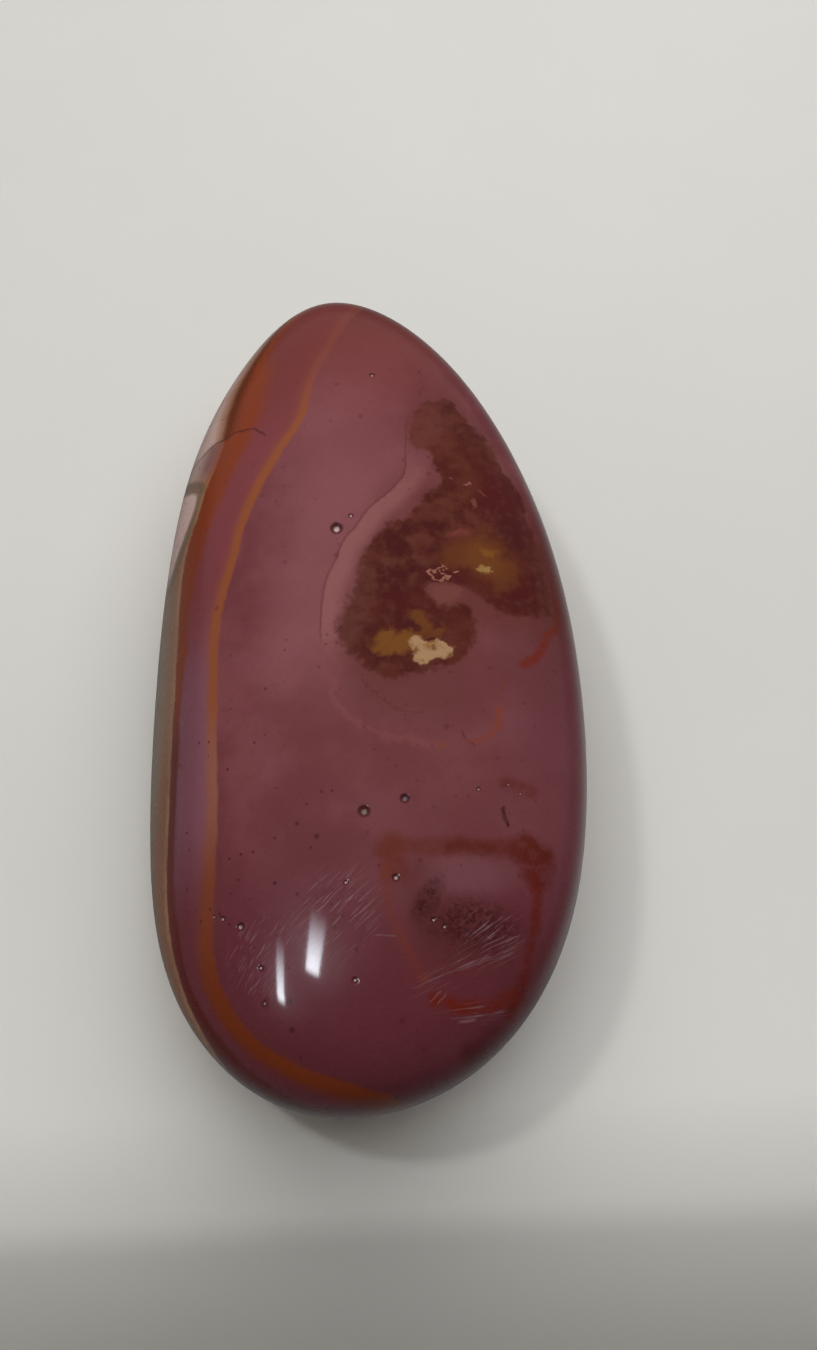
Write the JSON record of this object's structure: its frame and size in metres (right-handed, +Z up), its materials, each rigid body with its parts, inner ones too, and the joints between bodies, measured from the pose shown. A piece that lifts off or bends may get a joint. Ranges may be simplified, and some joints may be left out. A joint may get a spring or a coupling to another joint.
{
  "type": "palm stone",
  "caption": "Smooth flattened egg-shaped pebble of polished banded jasper that rests on a small flat spot.",
  "frame": {"origin": "on the surface the stone rests on, under the middle of its bounding box", "axes": "+Z up through the crown, +Y along the stone to its narrow end, +X to the right of that"},
  "size_m": [0.0436, 0.0872, 0.0224],
  "materials": {
    "jasper": "polished rose-brown jasper with ochre, rust and cream bands"
  },
  "bodies": {
    "root": {"stone": "jasper"}
  },
  "joints": []
}
